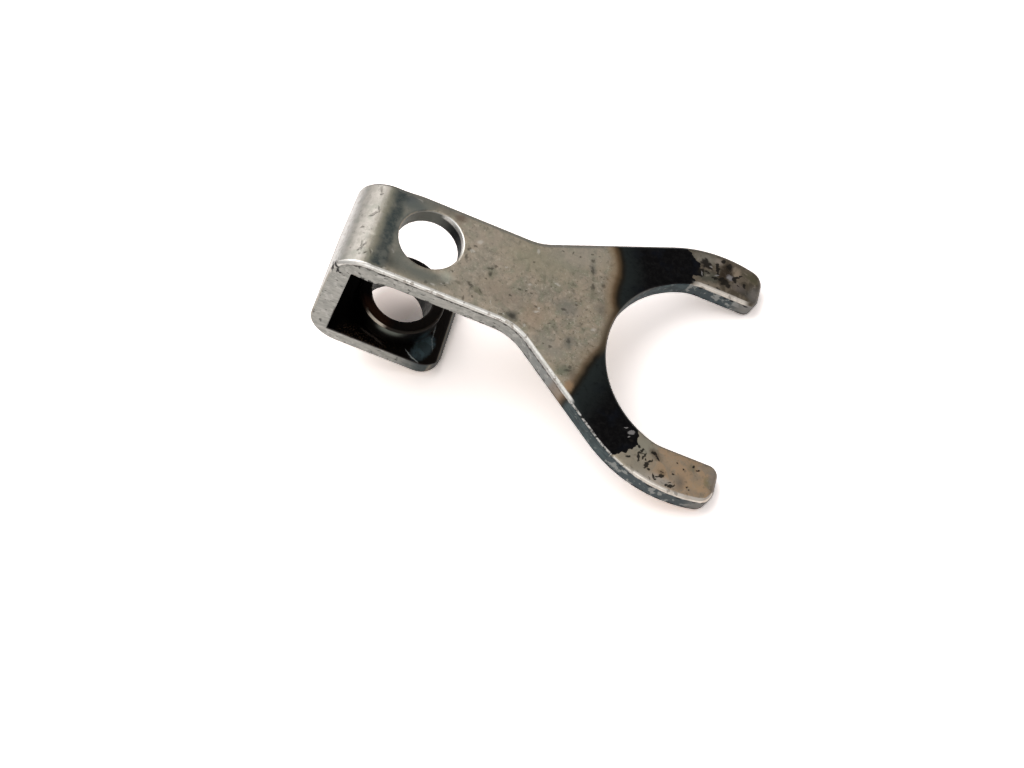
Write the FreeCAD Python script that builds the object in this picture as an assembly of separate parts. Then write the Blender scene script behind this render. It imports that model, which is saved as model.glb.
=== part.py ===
import FreeCAD, Part
import math
import os

# A shift fork blanked from one steel sheet and folded twice, sizes in mm.
# It is drawn with the rail bore on the Z axis, the upper face of the fork at z = 0
# and the mouth opening towards +X. At the end it is tipped onto the edges it rests on.

sheet_t = 4.5        # thickness of the sheet
bore_r = 7.0         # shift rail bore through both flanges
neck_front = 12.0    # bore axis to the front edge of the neck
neck_back = 9.8      # bore axis to the back edge of the neck
flare_start = 22.7   # bore axis to where the neck starts to widen
flare_r = 12.0       # hollow corner between neck and fork

mouth_reach = 63.8   # bore axis to the centre of the mouth
mouth_offset = 5.3   # the mouth sits this far to the front of the bore
mouth_r = 21.2       # round bottom of the mouth
pad_step = 0.6       # the straight pads stand this far inside the round
pad_blend_r = 10.2   # bend from the round into each pad
prong_w = 9.3        # width of the prongs round the mouth
tip_reach = 9.3      # mouth centre to the ends of the prongs
tip_out_r = 3.4      # outer corner of a prong end
tip_in_r = 2.3       # inner corner of a prong end

web_reach = 17.6     # bore axis to the outer face of the web
flange_gap = 26.0    # clear height between the two flanges
fold_out_r = 7.5     # outside of both folds
fold_in_r = 0.4      # inside of both folds, nearly sharp
flange_reach = 13.5  # bore axis to the free end of the lower flange
flange_corner_r = 5.0
flange_end_r = 2.2   # worn upper edge of that free end

collar_r = 9.9       # collar round the lower bore, on the inner face
collar_h = 5.8
collar_edge_r = 0.8

roll_r = 0.8         # edge drawn in by the blanking punch, all round the outer skin
bore_edge_r = 0.5    # rims of the bore on the outer skin and on the collar

height = 2 * sheet_t + flange_gap
web_out = -web_reach
web_in = web_out + sheet_t
flange_top = sheet_t - height
prong_r = mouth_r + prong_w
pad_half = mouth_r - pad_step
tip_x = mouth_reach + tip_reach
over = 5.0           # how far cutting tools stand clear of the metal

UP = FreeCAD.Vector(0, 0, 1)
BACK = FreeCAD.Vector(0, 1, 0)


def flat(x, y):
    """Point of the outline in the upper face."""
    return FreeCAD.Vector(x, y, 0)


def upright(x, z):
    """Point of the fold section in the plane of the bore axis."""
    return FreeCAD.Vector(x, 0, z)


def line(a, b):
    return Part.LineSegment(a, b).toShape()


def arc(centre, a, b):
    """Shorter arc from a to b about centre."""
    middle = (a - centre) + (b - centre)
    middle.normalize()
    return Part.Arc(a, centre + middle * (a - centre).Length, b).toShape()


def corner(before, at, after, radius):
    """Centre and ends of a round corner between two straight edges."""
    into = (before - at).normalize()
    out = (after - at).normalize()
    half = into.getAngle(out) / 2
    start = at + into * (radius / math.tan(half))
    end = at + out * (radius / math.tan(half))
    centre = at + (into + out).normalize() * (radius / math.sin(half))
    return centre, start, end


def edge_near(shape, point):
    """The edge that passes closest to a point."""
    spot = Part.Vertex(point)
    return min(shape.Edges, key=lambda edge: edge.distToShape(spot)[0])


def prong_edges(side, neck_edge):
    """One half of the fork outline, from the neck edge round the prong into the mouth.

    side is -1 for the front prong and 1 for the back one.
    """
    mouth = flat(mouth_reach, -mouth_offset)
    start = flat(0, neck_edge)
    foot = flat(flare_start, neck_edge)

    # The flare runs straight from its foot to touch the round back of the prong.
    to_mouth = mouth - foot
    swing = math.asin(prong_r / to_mouth.Length)
    heading = math.atan2(to_mouth.y, to_mouth.x) + side * swing
    run = to_mouth.Length * math.cos(swing)
    touch = foot + flat(math.cos(heading), math.sin(heading)) * run
    hollow, hollow_a, hollow_b = corner(start, foot, touch, flare_r)

    # Outer corner of the prong end, between the round back and the straight end.
    out_x = tip_reach - tip_out_r
    out_y = math.sqrt((prong_r - tip_out_r) ** 2 - out_x ** 2)
    out_c = mouth + flat(out_x, side * out_y)
    out_a = mouth + (out_c - mouth).normalize() * prong_r
    out_b = out_c + flat(tip_out_r, 0)

    # Inner corner, between the end and the straight pad of the mouth.
    pad_y = -mouth_offset + side * pad_half
    in_c = flat(tip_x - tip_in_r, pad_y + side * tip_in_r)
    in_a = in_c + flat(tip_in_r, 0)
    in_b = in_c - flat(0, side * tip_in_r)

    # Blend from the pad into the round bottom of the mouth.
    blend_y = pad_half - pad_blend_r
    blend_x = math.sqrt((mouth_r - pad_blend_r) ** 2 - blend_y ** 2)
    blend_c = mouth + flat(-blend_x, side * blend_y)
    blend_a = blend_c + flat(0, side * pad_blend_r)
    blend_b = mouth + (blend_c - mouth).normalize() * mouth_r
    deepest = mouth - flat(mouth_r, 0)

    return [
        line(start, hollow_a),
        arc(hollow, hollow_a, hollow_b),
        line(hollow_b, touch),
        arc(mouth, touch, out_a),
        arc(out_c, out_a, out_b),
        line(out_b, in_a),
        arc(in_c, in_a, in_b),
        line(in_b, blend_a),
        arc(blend_c, blend_a, blend_b),
        arc(mouth, blend_b, deepest),
    ]


def fork_plate():
    """The flat fork, from the bore axis to the ends of the prongs."""
    edges = prong_edges(-1, -neck_front) + prong_edges(1, neck_back)
    edges.append(line(flat(0, -neck_front), flat(0, neck_back)))
    outline = Part.Wire(Part.__sortEdges__(edges))
    return Part.Face(outline).extrude(UP * -sheet_t)


def folded_bracket():
    """Both folds, the web and the lower flange, as one bent section."""
    top_c = upright(web_out + fold_out_r, -fold_out_r)
    low_c = upright(web_out + fold_out_r, fold_out_r - height)
    in_top_c = upright(web_in + fold_in_r, -sheet_t - fold_in_r)
    in_low_c = upright(web_in + fold_in_r, flange_top + fold_in_r)
    end_c = upright(flange_reach - flange_end_r, flange_top - flange_end_r)
    fold_up = upright(0, fold_out_r)
    fold_left = upright(-fold_out_r, 0)
    in_up = upright(0, fold_in_r)
    in_left = upright(-fold_in_r, 0)

    section = Part.Wire([
        line(upright(0, 0), top_c + fold_up),
        arc(top_c, top_c + fold_up, top_c + fold_left),
        line(top_c + fold_left, low_c + fold_left),
        arc(low_c, low_c + fold_left, low_c - fold_up),
        line(low_c - fold_up, upright(flange_reach, -height)),
        line(upright(flange_reach, -height), end_c + upright(flange_end_r, 0)),
        arc(end_c, end_c + upright(flange_end_r, 0), end_c + upright(0, flange_end_r)),
        line(end_c + upright(0, flange_end_r), in_low_c - in_up),
        arc(in_low_c, in_low_c - in_up, in_low_c + in_left),
        line(in_low_c + in_left, in_top_c + in_left),
        arc(in_top_c, in_top_c + in_left, in_top_c + in_up),
        line(in_top_c + in_up, upright(0, -sheet_t)),
        line(upright(0, -sheet_t), upright(0, 0)),
    ])
    bent = Part.Face(section).extrude(BACK * (neck_front + neck_back))
    bent.translate(BACK * -neck_front)

    # Round corners of the free end, seen from above.
    back_left = flat(web_out - over, neck_back)
    back_right = flat(flange_reach, neck_back)
    front_right = flat(flange_reach, -neck_front)
    front_left = flat(web_out - over, -neck_front)
    back_c, back_a, back_b = corner(back_left, back_right, front_right, flange_corner_r)
    front_c, front_a, front_b = corner(back_right, front_right, front_left, flange_corner_r)
    plan = Part.Wire([
        line(back_left, back_a),
        arc(back_c, back_a, back_b),
        line(back_b, front_a),
        arc(front_c, front_a, front_b),
        line(front_b, front_left),
        line(front_left, back_left),
    ])
    trim = Part.Face(plan).extrude(UP * -(height + over))
    return bent.common(trim)


def rest_tilt():
    """Angle that sets the prong ends and the free end of the flange on one level."""
    heel_x = flange_reach - roll_r
    heel_z = roll_r - height
    run = tip_x - heel_x
    rise = -sheet_t - heel_z
    return math.atan2(rise, run) + math.asin(roll_r / math.hypot(run, rise))


# The blanked and folded sheet, with its one rounded rim. Every corner of the rim
# is round, so the rounding follows from this one edge all the way about.
sheet = folded_bracket().fuse(fork_plate()).removeSplitter()
rim = edge_near(sheet, FreeCAD.Vector(web_out, -neck_front, -height / 2))
sheet = sheet.makeFillet(roll_r, [rim])

# The collar round the lower bore, grown out of the inner face of the flange.
collar = Part.makeCylinder(collar_r, collar_h + sheet_t / 2, upright(0, flange_top - sheet_t / 2))
collar = collar.makeFillet(collar_edge_r, [edge_near(collar, upright(collar_r, flange_top + collar_h))])
fork = sheet.fuse(collar)

# The rail bore, drilled through both flanges and the collar in one go.
fork = fork.cut(Part.makeCylinder(bore_r, height + 2 * over, upright(0, over), UP * -1))
rims = [edge_near(fork, upright(bore_r, z)) for z in (0, flange_top + collar_h, -height)]
fork = fork.makeFillet(bore_edge_r, rims).removeSplitter()

# Tipped onto its prong ends and the free end of the flange, as it lies at rest.
fork.rotate(upright(0, 0), BACK, math.degrees(rest_tilt()))
box = fork.optimalBoundingBox()
fork.translate(FreeCAD.Vector(-box.Center.x, -box.Center.y, -box.ZMin))

os.makedirs("parts", exist_ok=True)
fork.exportStep("parts/shift_fork.step")
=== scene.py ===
import math
import bmesh
import bpy
from mathutils import Matrix, Vector, kdtree


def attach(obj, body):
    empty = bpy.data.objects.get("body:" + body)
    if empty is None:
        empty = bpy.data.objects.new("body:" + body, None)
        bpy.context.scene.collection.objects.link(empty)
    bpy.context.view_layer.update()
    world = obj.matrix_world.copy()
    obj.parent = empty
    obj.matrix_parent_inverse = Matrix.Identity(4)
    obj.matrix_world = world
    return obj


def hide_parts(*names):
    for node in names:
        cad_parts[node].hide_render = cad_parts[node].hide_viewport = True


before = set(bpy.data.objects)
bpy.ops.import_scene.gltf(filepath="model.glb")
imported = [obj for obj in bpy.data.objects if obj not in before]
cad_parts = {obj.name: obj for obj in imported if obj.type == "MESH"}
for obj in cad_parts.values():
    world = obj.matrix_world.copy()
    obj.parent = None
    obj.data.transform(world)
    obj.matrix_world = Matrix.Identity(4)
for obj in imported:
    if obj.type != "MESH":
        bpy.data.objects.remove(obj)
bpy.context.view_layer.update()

# The fork's blank: one piece of 4.5 mm sheet steel, blanked, its rim rolled round by the die,
# folded twice into a bracket round the shift rail. The mesh starts from the solid and is cut
# finer, so that what the press and the years did to the metal is real shape in it.
MM = 0.001
LEAN = math.radians(26.865377)                        # of the upper face, as the fork lies
BORE_TOP = Vector((-17.999076, 5.3, 37.047896)) * MM  # the bore's axis in the upper face
SHEET = 4.5                                           # from here on in mm, in the plate's axes
NECK_FRONT, NECK_BACK = -12.0, 9.8
WEB_OUT, FOLD_RADIUS, HEIGHT = -17.6, 7.5, 35.0
FOLD_END = WEB_OUT + FOLD_RADIUS
plate_axes = Matrix.Translation(BORE_TOP) @ Matrix.Rotation(LEAN, 4, "Y") @ Matrix.Scale(MM, 4)
to_plate = plate_axes.inverted()


def smooth(low, high, value):
    """0 at low, 1 at high, smooth between and level beyond; low may be the larger."""
    t = min(max((value - low) / (high - low), 0.0), 1.0)
    return t * t * (3 - 2 * t)


def under_skin(x, z):
    """Depth under the outer skin, along the plate, both folds, the web and the lower flange."""
    if x < FOLD_END and z > -FOLD_RADIUS:
        return FOLD_RADIUS - math.hypot(x - FOLD_END, z + FOLD_RADIUS)
    if x < FOLD_END and z < FOLD_RADIUS - HEIGHT:
        return FOLD_RADIUS - math.hypot(x - FOLD_END, z + HEIGHT - FOLD_RADIUS)
    return min(-z, z + HEIGHT, x - WEB_OUT)


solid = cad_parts["shift_fork"]
fork = bpy.data.objects.new("fork_steel", solid.data.copy())
bpy.context.scene.collection.objects.link(fork)

metal = bmesh.new()
metal.from_mesh(fork.data)
bmesh.ops.transform(metal, matrix=to_plate, verts=metal.verts)
bmesh.ops.remove_doubles(metal, verts=metal.verts, dist=0.001)
bmesh.ops.dissolve_limit(metal, angle_limit=0.0004, verts=metal.verts, edges=metal.edges)
CUT_SHIFT = 0.37  # of a step, so that no cut meets a face of the solid
CUTS = ((0, WEB_OUT, 73.1, 0.62), (1, -35.9, 25.3, 0.62), (2, -HEIGHT, 0.0, 0.9))
for axis, low, high, step in CUTS:
    for i in range(1, int((high - low) / step)):
        place, normal = Vector(), Vector()
        place[axis], normal[axis] = low + (i + CUT_SHIFT) * step, 1.0
        everything = metal.verts[:] + metal.edges[:] + metal.faces[:]
        bmesh.ops.bisect_plane(metal, geom=everything, plane_co=place, plane_no=normal, dist=1e-4)
bmesh.ops.triangulate(metal, faces=[f for f in metal.faces if len(f.verts) > 4])

# The die drew the skin down before it sheared it: the face falls off towards its rolled rim.
DIE_ROLL, ROLL_WIDTH, RIM_REACH = 0.09, 1.4, 3.0
BORE_ROUND, NEARLY, PER_EDGE = 8.2, 0.002, 8


def at_face(co):
    """Whether a place lies in the flat upper face."""
    return abs(co.z) < NEARLY and co.x > FOLD_END


def on_brink(edge):
    """Whether an edge ends the flat upper face at the fork's outline; the bore's edge doesn't."""
    start, end = (v.co for v in edge.verts)
    borders = sorted(f.normal.z > 0.9999 for f in edge.link_faces) == [False, True]
    return at_face(start) and at_face(end) and borders and (start + end).xy.length > 2 * BORE_ROUND


def faces_front(edge):
    """1 where the rim beside an edge faces the front, 0 where it faces the back."""
    rim = min(edge.link_faces, key=lambda f: f.normal.z)
    return smooth(0.1, -0.3, rim.normal.normalized().y)


metal.normal_update()
brink = [edge for edge in metal.edges if on_brink(edge)]
facing = [faces_front(edge) for edge in brink]
rim_points = kdtree.KDTree(len(brink) * PER_EDGE)
for i, edge in enumerate(brink):
    for k in range(PER_EDGE):
        point = edge.verts[0].co.lerp(edge.verts[1].co, k / PER_EDGE)
        rim_points.insert(point, i * PER_EDGE + k)
rim_points.balance()
depth_layer = metal.verts.layers.float.new("depth")
front_layer = metal.verts.layers.float.new("front_rim")
back_layer = metal.verts.layers.float.new("back_rim")
for v in metal.verts:
    x, y, z = v.co
    v[depth_layer] = under_skin(x, z)
    if z < -SHEET + 0.01 or x < FOLD_END or math.hypot(x, y) < BORE_ROUND:
        continue
    _, index, gap = rim_points.find((x, y, 0.0))
    near, front = max(0.0, 1 - gap / RIM_REACH), facing[index // PER_EDGE]
    v[front_layer], v[back_layer] = near * front, near * (1 - front)
    drop = DIE_ROLL * smooth(0, 3, x - FOLD_END)
    if abs(z) < NEARLY:
        v.co.z -= drop * max(0.0, 1 - gap / ROLL_WIDTH) ** 2
    else:
        v.co.z -= drop * (1 + 2 * gap / ROLL_WIDTH) * (1 + z / SHEET)

# Folding such thick sheet squeezes its inside, which swells out at the sides, and stretches its
# outside, which draws in.
SWELLING, DRAWN_IN, FELT_BELOW = 0.7, 0.5, 9.0
for v in metal.verts:
    x, y, z = v.co
    if z > -SHEET - FELT_BELOW:
        deep = min(max(under_skin(x, z) / SHEET, 0.0), 1.0)
        from_corner = math.hypot(x - WEB_OUT - SHEET, z + SHEET)
        squeezed = (1 - smooth(4.5, 9.5, from_corner)) * deep
        v.co.y -= SWELLING * squeezed * smooth(-8.5, NECK_FRONT, y)
        stretched = (1 - smooth(-10.0, -3.5, x)) * (1 - deep)
        fade = smooth(-SHEET - FELT_BELOW, -SHEET - 1.5, z)
        v.co.y -= DRAWN_IN * stretched * fade * smooth(4.0, NECK_BACK, y)

# Knocks on the fold's outside and on the plate.
KNOCKS = (  # place on the skin, half length, half width, depth, turn about the skin's normal
    ((-13.0, 1.3, -0.6), 1.0, 0.5, 0.06, 0.5), ((-13.1, -7.3, -0.6), 1.2, 0.5, 0.07, 0.9),
    ((-14.4, -1.7, -1.4), 0.5, 0.5, 0.05, 0.0), ((-13.7, 8.0, -0.9), 0.8, 0.5, 0.06, 1.6),
    ((-15.6, 4.5, -2.4), 1.2, 0.5, 0.06, 1.4), ((-12.0, -4.5, -0.3), 0.8, 0.5, 0.07, 0.2),
    ((5.4, -8.9, 0.0), 0.8, 0.6, 0.10, 0.0), ((8.5, 1.4, 0.0), 0.7, 0.5, 0.10, 0.9),
    ((9.3, 2.7, 0.0), 0.6, 0.5, 0.07, 2.2), ((11.0, -7.0, 0.0), 1.0, 0.5, 0.08, -0.6),
    ((14.6, -0.6, 0.0), 1.0, 0.5, 0.07, 1.2), ((21.3, -10.2, 0.0), 0.9, 0.7, 0.08, 0.0),
)
metal.normal_update()
for place, half_long, half_wide, drop, turn in KNOCKS:
    place = Vector(place)
    near = [v for v in metal.verts if (v.co - place).length < 2.5 * half_long + 0.5]
    skin = min(near, key=lambda v: (v.co - place).length).normal.copy()
    along = Vector((0, 1, 0)).cross(skin).normalized()
    along.rotate(Matrix.Rotation(turn, 3, skin))
    across = skin.cross(along)
    for v in near:
        if v.normal.dot(skin) > 0.5:
            gap = v.co - place
            u, w = gap.dot(along) / half_long, gap.dot(across) / half_wide
            v.co -= skin * drop * math.exp(-u * u - w * w)

# The mesh carries its places and normals in the plate's own axes, for the finish to read.
place_layers = [metal.verts.layers.float.new("plate_" + axis) for axis in "xyz"]
for v in metal.verts:
    for i, layer in enumerate(place_layers):
        v[layer] = v.co[i]
bmesh.ops.transform(metal, matrix=plate_axes, verts=metal.verts)
metal.to_mesh(fork.data)
metal.free()
fork.data.shade_smooth()
fork.data.set_sharp_from_angle(angle=math.radians(32))
upright = Matrix.Rotation(-LEAN, 3, "Y")
normals = [upright @ corner.vector for corner in fork.data.corner_normals]
for i, axis in enumerate("xyz"):
    layer = fork.data.attributes.new("skin_" + axis, "FLOAT", "CORNER")
    layer.data.foreach_set("value", [normal[i] for normal in normals])

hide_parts("shift_fork")
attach(fork, "root")

# The fork's finish: bare worked steel gone brown with handling, its fold and front rim rubbed
# bright and carrying painted highlights, painted shade on its back rim and inside the bracket,
# both prongs blued and blackened where they were heated to harden the pads.


def put(tree, kind, inputs=None, out=0, **settings):
    """A shader node with its inputs and settings; gives one of its outputs."""
    made = tree.nodes.new("ShaderNode" + kind)
    for key, value in settings.items():
        setattr(made, key, value)
    for socket, value in (inputs or {}).items():
        if isinstance(value, bpy.types.NodeSocket):
            tree.links.new(value, made.inputs[socket])
        else:
            made.inputs[socket].default_value = value
    return made.outputs[out]


def group(name, inputs, outputs):
    """An empty node group, with the sockets to read from and the sockets to fill."""
    made = bpy.data.node_groups.new(name, "ShaderNodeTree")
    for kind, names in (("INPUT", inputs), ("OUTPUT", outputs)):
        for label, socket in names:
            made.interface.new_socket(label, in_out=kind, socket_type="NodeSocket" + socket)
    start = made.nodes.new("NodeGroupInput")
    end = made.nodes.new("NodeGroupOutput")
    return made, start.outputs, end.inputs


# a mark with soft or ragged edges: 1 inside an ellipsoid at a place on the metal, 0 outside
MARK_VALUES = ("At X", "At Y", "At Z", "Half Length", "Half Width", "Half Depth", "Turn", "Edge")
mark, given, result = group("mark", [(name, "Float") for name in ("X", "Y", "Z", *MARK_VALUES)],
                            [("Mask", "Float")])
aside = put(mark, "Math", {0: given["X"], 1: given["At X"]}, operation="SUBTRACT")
ahead = put(mark, "Math", {0: given["Y"], 1: given["At Y"]}, operation="SUBTRACT")
above = put(mark, "Math", {0: given["Z"], 1: given["At Z"]}, operation="SUBTRACT")
cosine = put(mark, "Math", {0: given["Turn"]}, operation="COSINE")
sine = put(mark, "Math", {0: given["Turn"]}, operation="SINE")
minus_sine = put(mark, "Math", {0: sine, 1: -1.0}, operation="MULTIPLY")
total = None
for half, first, by_first, second, by_second in (
        ("Half Length", aside, cosine, ahead, sine),
        ("Half Width", ahead, cosine, aside, minus_sine)):
    by_first = put(mark, "Math", {0: by_first, 1: given[half]}, operation="DIVIDE")
    by_second = put(mark, "Math", {0: by_second, 1: given[half]}, operation="DIVIDE")
    part = put(mark, "Math", {0: first, 1: by_first}, operation="MULTIPLY")
    part = put(mark, "Math", {0: second, 1: by_second, 2: part}, operation="MULTIPLY_ADD")
    total = put(mark, "Math", {0: part, 1: part, 2: total or 0.0}, operation="MULTIPLY_ADD")
part = put(mark, "Math", {0: above, 1: given["Half Depth"]}, operation="DIVIDE")
total = put(mark, "Math", {0: part, 1: part, 2: total}, operation="MULTIPLY_ADD")
away = put(mark, "Math", {0: total}, operation="SQRT")
low = put(mark, "Math", {0: 1.0, 1: given["Edge"]}, operation="SUBTRACT")
high = put(mark, "Math", {0: 1.0, 1: given["Edge"]}, operation="ADD")
inside = put(mark, "MapRange", {"Value": away, "From Min": low, "From Max": high,
                                "To Min": 1.0, "To Max": 0.0},
             interpolation_type="SMOOTHSTEP", clamp=False)
mark.links.new(inside, result["Mask"])

# spots where a noise rises over a level: pits, specks, stains
spots, given, result = group("spots", [("Point", "Vector"), ("Scale", "Float"), ("Level", "Float"),
                                       ("Edge", "Float"), ("Detail", "Float")], [("Mask", "Float")])
grain = put(spots, "TexNoise", {"Vector": given["Point"], "Scale": given["Scale"],
                                "Detail": given["Detail"]})
over = put(spots, "Math", {0: given["Level"], 1: given["Edge"]}, operation="ADD")
inside = put(spots, "MapRange", {"Value": grain, "From Min": given["Level"], "From Max": over},
             interpolation_type="SMOOTHSTEP", clamp=False)
spots.links.new(inside, result["Mask"])

steel = bpy.data.materials.new("worn_steel")
steel.use_nodes = True
tree = steel.node_tree
shader = tree.nodes["Principled BSDF"]


def math_of(operation, a, b=0.0):
    return put(tree, "Math", {0: a, 1: b}, operation=operation)


def ramp(value, low, high):
    """0 at low, 1 at high, smooth between and level beyond; low may be the larger."""
    start, end = (0.0, 1.0) if low < high else (1.0, 0.0)
    low, high = min(low, high), max(low, high)
    return put(tree, "MapRange", {"Value": value, "From Min": low, "From Max": high,
                                  "To Min": start, "To Max": end},
               interpolation_type="SMOOTHSTEP", clamp=False)


def both(*masks):
    """Where all masks are set; a number among them is a share."""
    total = masks[0]
    for m in masks[1:]:
        total = math_of("MULTIPLY", total, m)
    return total


def either(*masks):
    total = masks[0]
    for m in masks[1:]:
        total = math_of("MAXIMUM", total, m)
    return total


def less(mask):
    return math_of("SUBTRACT", 1.0, mask)


def lay(under, over, mask):
    """A colour laid over another where a mask is set."""
    if isinstance(over, tuple):
        over = (*over, 1.0)
    return put(tree, "Mix", {"Factor": mask, 6: under, 7: over}, out=2, data_type="RGBA")


def level(under, over, mask):
    """A value that goes from one to another with a mask."""
    return put(tree, "Mix", {"Factor": mask, 2: under, 3: over}, data_type="FLOAT")


def spot(scale, at, edge, detail=3.0):
    """Spots of a noise with this scale, where it rises over a level."""
    made = tree.nodes.new("ShaderNodeGroup")
    made.node_tree = spots
    tree.links.new(P, made.inputs["Point"])
    for key, value in (("Scale", scale), ("Level", at), ("Edge", edge), ("Detail", detail)):
        made.inputs[key].default_value = value
    return made.outputs[0]


def place_mark(point, centre, half_size, turn, edge):
    """A mark at a centre, half length, half width and half depth across, turned in the plate."""
    made = tree.nodes.new("ShaderNodeGroup")
    made.node_tree = mark
    for key, socket in zip("XYZ", point):
        tree.links.new(socket, made.inputs[key])
    for key, value in zip(MARK_VALUES, (*centre, *half_size, math.radians(turn), edge)):
        made.inputs[key].default_value = value
    return made.outputs[0]


def marks(point, rows, edge, deep=2.0):
    """The rows are x, y, half length, half width, turn in degrees, all on the upper face."""
    total = None
    for x0, y0, half_long, half_wide, turn in rows:
        made = place_mark(point, (x0, y0, 0), (half_long, half_wide, deep), turn, edge)
        total = made if total is None else either(total, made)
    return total


def cloud_over(under, point, rows, edge):
    """Broad soft shapes: x, y, half length, half width, turn in degrees, colour, share."""
    for x0, y0, half_long, half_wide, turn, tone, share in rows:
        shape = place_mark(point, (x0, y0, 0), (half_long, half_wide, 3.0), turn, edge)
        under = lay(under, tone, both(shape, share))
    return under


# the point in the plate's axes and in mm: x from the bore's axis towards the prongs, y to the back
# and z up from the upper face; the plate ends at z -4.5, the web fills x -17.6 to -13.1 and the
# lower flange z -35 to -30.5
coordinates = tree.nodes.new("ShaderNodeTexCoord")
P = put(tree, "Mapping", {"Vector": coordinates.outputs["Object"], "Location": to_plate.translation,
                          "Rotation": to_plate.to_euler(), "Scale": (1 / MM, 1 / MM, 1 / MM)})


def carried(name):
    """A value that the mesh carries."""
    return put(tree, "Attribute", out=2, attribute_name=name)


x, y, z = (carried("plate_" + axis) for axis in "xyz")
nx, ny, nz = (carried("skin_" + axis) for axis in "xyz")
depth, front_rim, back_rim = carried("depth"), carried("front_rim"), carried("back_rim")


def shaken(amount, scale, detail):
    """The point, shaken by a noise, so that what is drawn at it gets a ragged edge."""
    noise = put(tree, "TexNoise", {"Vector": P, "Scale": scale, "Detail": detail}, out=1)
    shifts = put(tree, "SeparateColor", {0: noise}).node.outputs
    moved = [put(tree, "Math", {0: shift, 1: amount, 2: at}, operation="MULTIPLY_ADD")
             for shift, at in zip(shifts, (x, y, z))]
    return [math_of("SUBTRACT", at, amount / 2) for at in moved]


ragged = shaken(1.1, 1.3, 4.0)
nibbled = shaken(0.7, 2.6, 3.0)
clouded = shaken(1.8, 0.6, 4.0)
softly = shaken(3.5, 0.25, 3.0)
rx, ry, rz = ragged
cx, cy = clouded[:2]
sx, sy = softly[:2]


def size_of(value):
    return math_of("ABSOLUTE", value)


def from_axis(point):
    """Distance from the bore's axis."""
    along, across = point[:2]
    across = math_of("MULTIPLY", across, across)
    square = put(tree, "Math", {0: along, 1: along, 2: across}, operation="MULTIPLY_ADD")
    return math_of("SQRT", square)


bore_gap = from_axis((x, y, z))
flat = ramp(nz, 0.7, 0.9)
far_side = ramp(y, 0.0, 10.0)
near_side = ramp(y, 0.0, -12.0)

# the bare skin, brown-grey: broad clouds, warm and olive tints, fine mottling, small pits
clouds = put(tree, "TexNoise", {"Vector": P, "Scale": 0.13, "Detail": 4.0, "Roughness": 0.6})
tint = put(tree, "TexNoise", {"Vector": P, "Scale": 0.36, "Detail": 4.0, "Roughness": 0.6,
                              "Distortion": 0.6})
mottle = put(tree, "TexNoise", {"Vector": P, "Scale": 0.85, "Detail": 6.0, "Roughness": 0.72,
                                "Distortion": 0.4})
color = lay((0.50, 0.420, 0.312, 1.0), (0.425, 0.372, 0.292), ramp(clouds, 0.40, 0.60))
color = lay(color, (0.60, 0.485, 0.38), both(ramp(tint, 0.52, 0.62), 0.55))
color = lay(color, (0.35, 0.345, 0.25), both(ramp(tint, 0.48, 0.39), 0.60))
color = lay(color, (0.70, 0.625, 0.51), both(ramp(mottle, 0.53, 0.65), 0.50))
color = lay(color, (0.22, 0.195, 0.15), both(ramp(mottle, 0.47, 0.36), 0.62))
color = lay(color, (0.13, 0.112, 0.085), both(spot(1.3, 0.615, 0.05, 4.0), 0.5))
color = lay(color, (0.78, 0.72, 0.62), both(spot(2.0, 0.60, 0.08, 3.0), 0.45))
color = lay(color, (0.64, 0.565, 0.455), both(ramp(x, 28.0, 10.0), 0.25))
rough = level(0.36, 0.50, ramp(mottle, 0.4, 0.6))

# broad stains on the plate, and one painted highlight below the bore
CLOUDS = (
    (-1.0, -9.3, 6.2, 1.5, 0, (0.21, 0.21, 0.175), 0.80),
    (-7.0, -8.4, 2.6, 2.2, 20, (0.115, 0.118, 0.10), 0.85),
    (-6.0, 6.8, 3.4, 1.7, -8, (0.075, 0.105, 0.125), 0.92),
    # a painted highlight below the bore
    (5.5, -7.2, 1.3, 1.2, 30, (0.66, 0.68, 0.57), 0.55),
    (0.5, 8.3, 5.0, 1.0, 0, (0.24, 0.215, 0.18), 0.65),
    (4.6, 7.7, 1.2, 0.9, 0, (0.19, 0.13, 0.095), 0.60),
    (9.6, 3.6, 1.6, 1.3, 40, (0.62, 0.51, 0.41), 0.50),
    (13.3, 6.3, 2.5, 1.8, 20, (0.56, 0.47, 0.38), 0.45),
    (24.0, 5.5, 7.0, 3.6, 0, (0.45, 0.41, 0.29), 0.60),
    (31.5, 10.5, 6.0, 3.0, 25, (0.53, 0.475, 0.39), 0.60),
    (18.0, -6.0, 5.0, 2.2, -10, (0.44, 0.35, 0.27), 0.50),
    (25.6, -8.0, 2.2, 3.0, 10, (0.54, 0.40, 0.29), 0.50),
    (21.3, -10.2, 1.3, 1.1, 0, (0.13, 0.125, 0.105), 0.85),
    (32.3, -3.0, 2.4, 1.9, 0, (0.31, 0.29, 0.25), 0.60),
    (36.3, 3.0, 0.9, 2.4, 20, (0.28, 0.26, 0.19), 0.60),
    (35.1, 8.6, 0.7, 1.4, 15, (0.25, 0.235, 0.20), 0.65),
    (34.5, -11.0, 1.0, 1.4, 0, (0.21, 0.205, 0.185), 0.60),
    (35.4, -17.6, 1.9, 1.4, 20, (0.22, 0.235, 0.17), 0.65),
    (37.4, -18.3, 1.0, 1.5, 0, (0.21, 0.175, 0.14), 0.60),
    (39.6, -0.3, 1.4, 1.7, 0, (0.22, 0.185, 0.15), 0.55),
    (31.0, -14.0, 3.4, 2.0, -30, (0.50, 0.45, 0.37), 0.50),
    (12.8, -7.4, 1.1, 0.6, -30, (0.20, 0.19, 0.125), 0.60),
    (14.5, -2.2, 0.8, 1.2, 0, (0.22, 0.225, 0.16), 0.60),
    (8.2, -7.6, 1.0, 0.35, 5, (0.19, 0.18, 0.13), 0.60),
)
color = cloud_over(color, clouded, CLOUDS, 0.75)

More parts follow.
